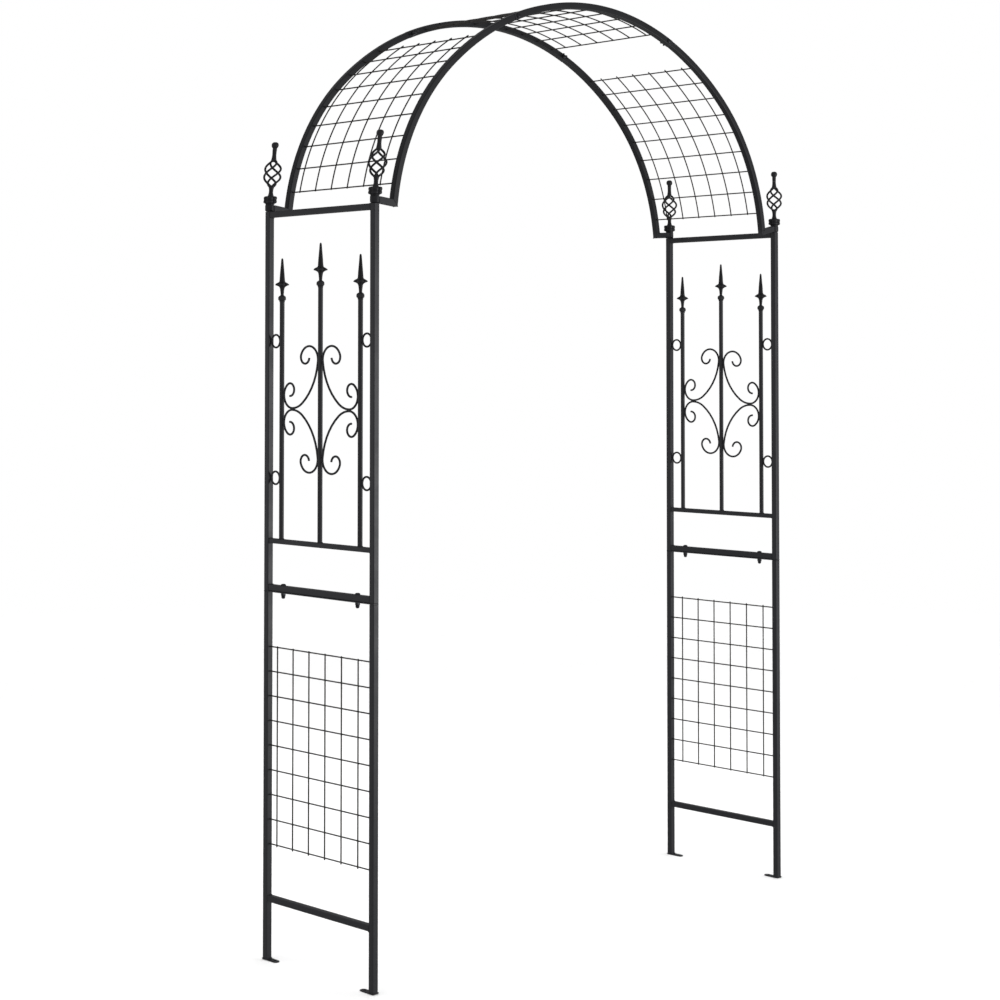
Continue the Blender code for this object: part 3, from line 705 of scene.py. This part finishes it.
def archPoint(side, distance, y, lift=0.0):
    if distance < haunchLength:
        angle = haunchStart + distance / haunchRadius
        centreX, centreZ, radius = haunchX, haunchZ, haunchRadius
    else:
        angle = haunchEnd + (distance - haunchLength) / crownRadius
        centreX, centreZ, radius = 0.0, crownZ, crownRadius
    reach = radius + lift
    return Vector((sideSign[side] * (centreX + reach * cos(angle)), y, centreZ + reach * sin(angle)))


def archWay(side, distance):
    # the direction up the arch there
    return (archPoint(side, distance + 0.001, 0) - archPoint(side, distance - 0.001, 0)).normalized()


def legForm(side, end):
    form = bmesh.new()
    y, drop = endSign[end] * postY, footDrop[f"{side}_{end}"]
    x = sideSign[side] * postX
    bossRadius = postSize / 2 + bossSize["overhang"]
    half = postSize / 2
    body = squareOutline(postSize)
    shoulder = squareOutline(legNeck["size"], 0.0016)
    rings = []
    up = archWay(side, jointAt)
    for distance, outline, scale in ((jointAt + legNeck["length"], shoulder, 0.92),
                                     (jointAt + legNeck["length"] - 0.0006, shoulder, 1.0),
                                     (jointAt - 0.0002, shoulder, 1.0),
                                     (jointAt - 0.0004, body, 0.94), (jointAt - 0.0010, body, 1.0)):
        rings.append(layRing(form, archPoint(side, distance, y), -archWay(side, distance), alongWay,
                             outline, scale))
    rings += [layRing(form, archPoint(side, distance, y), -archWay(side, distance), alongWay, body)
              for distance in evenly(jointAt - 0.004, 0.004 - drop, 44)]
    # the curve ends in a mitre on the short bar that runs up and out to the boss
    outward = Vector((sideSign[side], 0, 0))
    corner = archPoint(side, -drop, y)
    bend = Vector((x - sideSign[side] * bossRadius * 1.15, y, footHeight))
    boss = Vector((x - sideSign[side] * bossRadius / 2, y, footHeight))
    down, slope = -archWay(side, -drop), (bend - corner).normalized()
    for spot, before, after in ((corner, down, slope), (bend, slope, outward)):
        rings.append(layRing(form, spot, before + after, alongWay, body,
                             stretch=1 / cos(before.angle(after) / 2)))
    rings.append(layRing(form, boss, outward, alongWay, body))
    # weld in the seam of the mitre, down both faces of the bar
    seam = (slope - down).normalized() * (half / cos(down.angle(slope) / 2))
    for face in (-1, 1):
        edge = Vector((0, face * (half - 0.0005), 0))
        weldLines["arch"].append([corner + edge - seam * 0.9, corner + edge + seam * 0.9])
    skinRings(form, rings)
    ease = bossSize["easing"]
    start = len(form.verts)
    under = bossSize["under"]
    profile = [(bossRadius - under, -half)]
    profile += [(bossRadius - under * (1 - sin(turn)), -half + under * 0.8 * (1 - cos(turn)))
                for turn in evenly(pi / 12, pi / 2, 6)]
    profile += [(bossRadius, half - ease * 0.6), (bossRadius - ease * 0.2, half - ease * 0.15),
                (bossRadius - ease * 0.6, half)]
    turnForm(form, profile, 40)
    moveForm(form, Matrix.Translation((x, y, footHeight)), list(form.verts)[start:])
    reachX = x - sideSign[side] * (bossRadius ** 2 - half ** 2) ** 0.5
    for lean in (-1, 1):                     # upright fillets where the bar meets the boss
        spot = Vector((reachX, y + lean * half, footHeight))
        weldLines["arch"].append([spot - upWay * 0.006, spot + upWay * 0.006])
    return form


def crownForm(y):
    form = bmesh.new()
    outer = squareOutline(crownTube["size"], 0.0019)
    inner = squareOutline(crownTube["size"] - 2 * crownTube["wall"], 0.0012)
    stations = [("left", s) for s in evenly(jointAt, archHalf, 25)[:-1]]
    stations += [("right", s) for s in reversed(evenly(jointAt, archHalf, 25))]

    def station(side, distance, outline, scale=1.0):
        along = acrossWay
        if distance < archHalf - 0.001:
            along = archWay(side, min(distance, archHalf - 0.0011)) * -sideSign[side]
        return layRing(form, archPoint(side, distance, y), along, alongWay, outline, scale)

    rings = [station("left", jointAt + crownTube["recess"], inner, 0.9),
             station("left", jointAt + crownTube["recess"], inner),
             station("left", jointAt + 0.0002, inner), station("left", jointAt, outer, 0.965)]
    rings += [station(side, distance + (0.0003 if distance == jointAt else 0), outer)
              for side, distance in stations]
    rings += [station("right", jointAt, outer, 0.965), station("right", jointAt + 0.0002, inner),
              station("right", jointAt + crownTube["recess"], inner),
              station("right", jointAt + crownTube["recess"], inner, 0.9)]
    return skinRings(form, rings)


for side, end in corners:
    addTube(f"{side}_{end}_curved_leg", legForm(side, end), f"{side}_{end}_arch_leg")
for end in endSign:
    addTube(f"{end}_crown_tube", crownForm(endSign[end] * postY), f"{end}_arch_crown")
print("arch ready")


# Wire meshes: round wire in two layers, spot welded where it crosses

meshWire = {"radius": 0.0016, "facets": 8, "overrun": 0.0032, "squash": 0.0003, "uprights": 6,
            "levels": 9, "reach": 0.1392,        # from the middle to the outermost long wires
            "footMargin": 0.041, "jointMargin": 0.109, "crownMargin": 0.058}
# how far off centre each mesh was welded
meshShift = {"left_grid": 0.007, "right_grid": 0.001, "left_arch_mesh": 0.008,
             "right_arch_mesh": -0.001, "crown_mesh": -0.009}
layer = meshWire["radius"] - meshWire["squash"] / 2


def layMesh(node, area, place, levels, edgeReach, steps):
    # place(distance, y, lift) gives the point; levels are the distances of the cross wires
    lines = [[place(level, y, -layer) for y in (-edgeReach, edgeReach)] for level in levels]
    low, high = levels[0] - meshWire["overrun"], levels[-1] + meshWire["overrun"]
    for offset in evenly(-meshWire["reach"], meshWire["reach"], meshWire["uprights"]):
        y = meshShift[node] + offset
        lines.append([place(s, y, layer) for s in evenly(low, high, steps)])
        wireSpots[area] += [[place(level, y, 0.0)] for level in levels]
    wireSpots[area] += [[place(level, y, -layer)] for level in levels for y in (-edgeReach, edgeReach)]
    grown = growMesh(node, wireTree, lineMesh(lines), wireCoat,
                     {"Wire Radius": meshWire["radius"], "Facets": meshWire["facets"]})
    addPiece(f"{node}_wires", grown, wireCoat, "wire_coat", node)


for side in sideSign:
    low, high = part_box(f"{side}_grid")
    x = sideSign[side] * postX
    levels = evenly(low.z + meshWire["radius"], high.z - meshWire["radius"], meshWire["levels"])
    layMesh(f"{side}_grid", side + "_side", lambda s, y, lift: Vector((x + sideSign[side] * lift, y, s)),
            levels, postFace - 0.0003, 2)
    levels = evenly(meshWire["footMargin"], jointAt - meshWire["jointMargin"], meshWire["levels"])
    layMesh(f"{side}_arch_mesh", "arch", lambda s, y, lift: archPoint(side, s, y, lift),
            levels, postFace - 0.0003, 40)


def crownPoint(distance, y, lift):
    angle = distance / crownRadius
    reach = crownRadius + lift
    return Vector((reach * sin(angle), y, crownZ + reach * cos(angle)))


crownMeshHalf = archLine["crownHalf"] - meshWire["crownMargin"]
layMesh("crown_mesh", "arch", crownPoint, evenly(-crownMeshHalf, crownMeshHalf, meshWire["levels"]),
        postY - crownTube["size"] / 2 - 0.0003, 40)
print("wire meshes ready")


# Finials: cast collar of four lobes, waisted stems, twisted basket and ball. Each leans towards the
# walkway and starts its basket at its own turn, both in degrees.

finialCast = {"collarRadius": 0.0154, "collarHeight": 0.0200, "stemRadius": 0.0049,
              "lowerStem": 0.022, "basketHeight": 0.061, "upperStem": 0.027, "ballRadius": 0.0083,
              "skinDepth": 0.00028, "skinSize": 0.0045, "lean": {"left": 6.2, "right": 0.0},
              "turn": {"left_front": 20, "left_rear": 65, "right_front": 65, "right_rear": 88}}
basket = {"Belly": 0.0192, "Neck": 0.0040, "Fullness": 2.6, "Twist": radians(230), "Wires": 4,
          "Wire Radius": 0.0025, "Facets": 12, "Steps": 44}


def lobes(angle):
    # four round lobes on the diagonals with creases between them
    return 0.68 + 0.32 * abs(sin(2 * angle)) ** 0.55


def finialForm(seed):
    form = bmesh.new()
    radius, height = finialCast["collarRadius"], finialCast["collarHeight"]
    collar = sized([(0.64, 0.0, 0.2), (0.66, 0.05, 0.3), (0.67, 0.15, 0.4), (0.84, 0.19, 0.8),
                    (0.95, 0.24, 1), (1, 0.33, 1), (0.99, 0.45, 1), (0.94, 0.55, 1), (0.96, 0.64, 1),
                    (1, 0.75, 1), (0.99, 0.87, 1), (0.90, 0.97, 1), (0.74, 1, 0.9)], radius, height)
    collar += sized([(0.52, 0.0003, 0.4), (0.42, 0.0012, 0.1), (0.37, 0.0026)], radius, base=height)
    turnForm(form, collar, 64, lobes)
    stem, cage = finialCast["stemRadius"], height + finialCast["lowerStem"]
    lower = sized([(1.50, -0.002), (1.36, 0.0016), (1.14, 0.0045), (0.98, 0.0090), (1.00, 0.0140)],
                  stem, base=height)
    lower += sized([(1.16, -0.0040), (1.30, -0.0006), (1.15, 0.0014), (0.55, 0.0036)], stem, base=cage)
    turnForm(form, lower, 12, halfStep=True)
    top = cage + finialCast["basketHeight"]
    ball = top + finialCast["upperStem"] + finialCast["ballRadius"]
    upper = sized([(0.55, -0.0036), (1.15, -0.0014), (1.30, 0.0006), (1.14, 0.0050), (0.98, 0.0110),
                   (0.96, 0.0160)], stem, base=top)
    upper += sized([(1.04, -0.0098), (1.0, -0.0060)], stem, base=ball)
    turnForm(form, upper, 12, halfStep=True)
    bead = finialCast["ballRadius"]
    turnForm(form, sized([(0.45, -0.92), (0.72, -0.72), (0.93, -0.38), (1, -0.06), (0.96, 0.34),
                          (0.80, 0.66), (0.50, 0.85), (0, 0.92)], bead, bead, ball), 18)
    mouldSkin(form, finialCast["skinDepth"], finialCast["skinSize"], seed)
    return form, cage


for number, (side, end) in enumerate(corners):
    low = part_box(f"{side}_{end}_finial")[0]
    form, cage = finialForm(number + 1)
    wires = growMesh("basket", basketTree, lineMesh([[Vector()]]), castCoat, {
        "Base": cage, "Top": cage + finialCast["basketHeight"],
        "Start Turn": radians(finialCast["turn"][f"{side}_{end}"]), **basket})
    form.from_mesh(wires)
    bpy.data.meshes.remove(wires)
    slope = -sideSign[side] * tan(radians(finialCast["lean"][side]))
    lean = Matrix(((1, 0, slope, 0), (0, 1, 0, 0), (0, 0, 1, 0), (0, 0, 0, 1)))
    moveForm(form, Matrix.Translation((sideSign[side] * postX, endSign[end] * postY, low.z + 0.0002)) @ lean)
    addPiece(f"{side}_{end}_birdcage_finial", closeForm(form, "birdcage_finial", crease=36), castCoat,
             "cast_coat", f"{side}_{end}_finial")
print("finials ready")


# Fastenings

bolt = {"headRadius": 0.0062, "headHeight": 0.0038, "shank": 0.0029}
capNut = {"radius": 0.0052, "height": 0.0125}
wingNut = {"reach": 0.0125, "thickness": 0.0022, "height": 0.0110, "slant": 35, "hub": 0.0052}


def sixFlats(angle):
    return cos(pi / 6) / cos(angle % (pi / 3) - pi / 6)


def domedHead(form, base):
    radius, height = bolt["headRadius"], bolt["headHeight"]
    turnForm(form, sized([(0.96, 0), (1, 0.0004)], radius, base=base) + sized([
        (0.98, 0.32), (0.88, 0.60), (0.66, 0.84), (0.36, 0.97), (0, 1)], radius, height, base), 28)


for side, end in corners:
    low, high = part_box(f"{side}_{end}_frame_bolt")
    middle, headBase = (low + high) / 2, high.z - bolt["headHeight"]
    form = bmesh.new()
    domedHead(form, headBase)
    under = low.z + capNut["height"]
    turnForm(form, [(bolt["shank"], under - 0.001), (bolt["shank"], headBase + 0.001)], 16)
    nut = sized([(0, 1), (0.40, 0.975), (0.66, 0.90), (0.82, 0.76), (0.87, 0.56, 0.0), (0.90, 0.48, 0.9),
                 (1.02, 0.42, 1), (1.10, 0.36, 1)], capNut["radius"], -capNut["height"], under)
    nut += sized([(1.10, -0.0005, 1), (1.03, -0.0002, 1)], capNut["radius"], base=under)
    turnForm(form, nut, 36, sixFlats)
    moveForm(form, Matrix.Translation((middle.x, middle.y, 0)))
    addPiece(f"{side}_{end}_cap_nut_bolt", closeForm(form, "cap_nut_bolt", crease=28), boltZinc,
             "bolt_coat", f"{side}_{end}_frame_bolt")


def wingNutForm(form, slant):
    # a cast wing nut, its hub on the Z axis and its wings up along Z
    reach, height, hub = wingNut["reach"], wingNut["height"], wingNut["hub"]
    start = len(form.verts)
    turnForm(form, sized([(1, 0.0), (1.04, 0.0006), (0.96, 0.0030), (0.78, 0.0062), (0.62, 0.0066)],
                         hub), 20)
    outline = [(0.0, 0.0012), (hub * 0.9, 0.0010)]
    outline += sized([(0.72, 0.36), (0.93, 0.60), (1.0, 0.82), (0.94, 0.97), (0.80, 1), (0.62, 0.90),
                      (0.44, 0.66)], reach, height)
    outline += [(reach * 0.28, 0.0056), (0.0, 0.0050)]
    outline += [(-a, b) for a, b in outline[-2:0:-1]]
    faces = []
    for across in (-wingNut["thickness"] / 2, wingNut["thickness"] / 2):
        faces.append([form.verts.new((a, across, b)) for a, b in outline])
    form.faces.new(faces[0])
    form.faces.new(faces[1][::-1])
    walls = [form.faces.new((faces[0][k], faces[1][k], faces[1][(k + 1) % len(outline)],
                             faces[0][(k + 1) % len(outline)])) for k in range(len(outline))]
    rims = list(dict.fromkeys(edge for wall in walls for edge in wall.edges
                              if abs(edge.verts[0].co.y - edge.verts[1].co.y) < 1e-6))
    bmesh.ops.bevel(form, geom=rims, offset=0.0006, segments=2, profile=0.6, affect="EDGES")
    moveForm(form, Matrix.Rotation(slant, 4, "Z"), list(form.verts)[start:])


for side, end in corners:
    spot = archPoint(side, jointAt + archLine["boltBack"], endSign[end] * postY)
    face = crownTube["size"] / 2 + 0.0003
    form = bmesh.new()
    wingNutForm(form, radians(wingNut["slant"]) * sideSign[side] * -endSign[end])
    moveForm(form, Matrix.Translation((0, 0, face)))
    turnForm(form, [(bolt["shank"], -face - 0.001), (bolt["shank"], face + 0.0110),
                    (bolt["shank"] * 0.8, face + 0.0118)], 16)
    start = len(form.verts)
    domedHead(form, face)
    moveForm(form, Matrix.Rotation(pi, 4, "X"), list(form.verts)[start:])
    # +Z of the nut turns to face the other arch
    inwardTurn = Matrix.Rotation(pi / 2 * endSign[end], 4, "X")
    moveForm(form, Matrix.Translation(spot) @ inwardTurn)
    addPiece(f"{side}_{end}_wing_nut_bolt", closeForm(form, "wing_nut_bolt", crease=34), boltZinc,
             "bolt_coat", f"{side}_{end}_wing_bolt")
print("fastenings ready")


# Welds

weldSize = {"Drop Radius": 0.0013, "Spacing": 0.0015, "Seed": 3, "Segments": 8, "Rings": 5}
spotSize = {"Drop Radius": 0.0015, "Spacing": 0.0015, "Seed": 8, "Segments": 6, "Rings": 4}

for area in weldLines:
    beads = growMesh("beads", weldTree, lineMesh(weldLines[area]), weldCoat, weldSize)
    addPiece(f"{area}_weld_beads", beads, weldCoat, "frame_coat")
    spots = growMesh("spots", weldTree, lineMesh(wireSpots[area]), weldCoat, spotSize)
    addPiece(f"{area}_wire_welds", spots, weldCoat, "wire_coat")
print("welds ready")


# Camera

view = {"place": (-3.638, -3.515, 1.350), "heading": 44.854, "pitch": 1.844, "lens": 73.71,
        "shift": -0.2026}
camera = bpy.data.objects.new("camera", bpy.data.cameras.new("camera"))
camera.data.lens = view["lens"]
camera.data.sensor_width = 36
camera.data.shift_y = view["shift"]
camera.data.clip_end = 60
camera.location = view["place"]
heading, pitch = radians(view["heading"]), radians(view["pitch"])
gaze = Vector((sin(heading) * cos(pitch), cos(heading) * cos(pitch), sin(pitch)))
camera.rotation_euler = gaze.to_track_quat("-Z", "Y").to_euler()
bpy.context.scene.collection.objects.link(camera)
bpy.context.scene.camera = camera
bpy.context.scene.view_settings.view_transform = "Standard"


# Floor and light: a pale studio with one broad soft light on the camera's right

studio = {"floorColour": "#f7f7f7", "floorShade": "#f4f4f4", "floorRadius": 7.0, "floorLight": 3.0,
          "surround": 1.0, "fill": 0.28, "keyPlace": (2.3, -3.7, 0.7), "keySize": 2.2, "keyPower": 52,
          "sidePlace": (-3.2, 3.0, 1.2), "sideSize": 1.4, "sidePower": 3.5}

floorForm = bmesh.new()
turnForm(floorForm, [(studio["floorRadius"], -0.02), (studio["floorRadius"], -0.0005)], 96)
floorMesh = closeForm(floorForm, "floor")
floorMaterial = bpy.data.materials.new("pale matt studio floor")
floorMaterial.use_nodes = True
floorTree = floorMaterial.node_tree
floorShader = floorTree.nodes["Principled BSDF"]
floorShader.inputs["Roughness"].default_value = 0.9
floorShader.inputs["Specular IOR Level"].default_value = 0.1
floorPlace = addNode(floorTree, "ShaderNodeTexCoord").outputs["Object"]
floorCloud = addNode(floorTree, "ShaderNodeTexNoise", {"Vector": floorPlace, "Scale": 2.0, "Detail": 2.0})
floorTone = addNode(floorTree, "ShaderNodeMixRGB", {
    "Fac": floorCloud.outputs["Fac"], "Color1": hexColour(studio["floorShade"]),
    "Color2": hexColour(studio["floorColour"])})
floorTree.links.new(floorTone.outputs["Color"], floorShader.inputs["Base Color"])
# the floor fades into the surround towards its rim, so that no edge shows
farOut = addNode(floorTree, "ShaderNodeVectorMath", {0: floorPlace}, operation="LENGTH")
fade = addNode(floorTree, "ShaderNodeMapRange", {
    "Value": farOut.outputs["Value"], "From Min": 1.5, "From Max": studio["floorRadius"]},
    interpolation_type="SMOOTHSTEP")
clear = addNode(floorTree, "ShaderNodeBsdfTransparent")
blended = addNode(floorTree, "ShaderNodeMixShader", {
    0: fade.outputs["Result"], 1: floorShader.outputs["BSDF"], 2: clear.outputs["BSDF"]})
floorTree.links.new(blended.outputs["Shader"], floorTree.nodes["Material Output"].inputs["Surface"])
floorMesh.materials.append(floorMaterial)
floor = bpy.data.objects.new("studio_floor", floorMesh)
bpy.context.scene.collection.objects.link(floor)


def addSoftLight(name):
    place = studio[name + "Place"]
    light = bpy.data.lights.new(name, "AREA")
    light.shape = "DISK"
    light.size = studio[name + "Size"]
    light.energy = studio[name + "Power"]
    lamp = bpy.data.objects.new(name, light)
    lamp.location = place
    lamp.rotation_euler = (Vector((0, 0, 1.1)) - Vector(place)).to_track_quat("-Z", "Y").to_euler()
    lamp.visible_camera = False
    bpy.context.scene.collection.objects.link(lamp)


addSoftLight("key")
addSoftLight("side")
# a wide sun lights only the floor, so the floor stays pale without flooding the dark coat
sun = bpy.data.objects.new("floor_light", bpy.data.lights.new("floor_light", "SUN"))
sun.data.energy, sun.data.angle = studio["floorLight"], radians(100)
bpy.context.scene.collection.objects.link(sun)
lightsOnly = bpy.data.collections.new("floor only")
lightsOnly.objects.link(floor)
sun.light_linking.receiver_collection = lightsOnly
floor.visible_diffuse = floor.visible_glossy = False

world = bpy.data.worlds.new("studio")
bpy.context.scene.world = world
world.use_nodes = True
worldTree = world.node_tree
worldTree.nodes.clear()
seen = addNode(worldTree, "ShaderNodeBackground", {"Color": (1, 1, 1, 1), "Strength": studio["surround"]})
lit = addNode(worldTree, "ShaderNodeBackground", {"Color": (1, 1, 1, 1), "Strength": studio["fill"]})
straight = addNode(worldTree, "ShaderNodeLightPath").outputs["Is Camera Ray"]
mixed = addNode(worldTree, "ShaderNodeMixShader", {0: straight, 1: lit.outputs[0], 2: seen.outputs[0]})
addNode(worldTree, "ShaderNodeOutputWorld", {"Surface": mixed.outputs[0]})
print("studio ready")
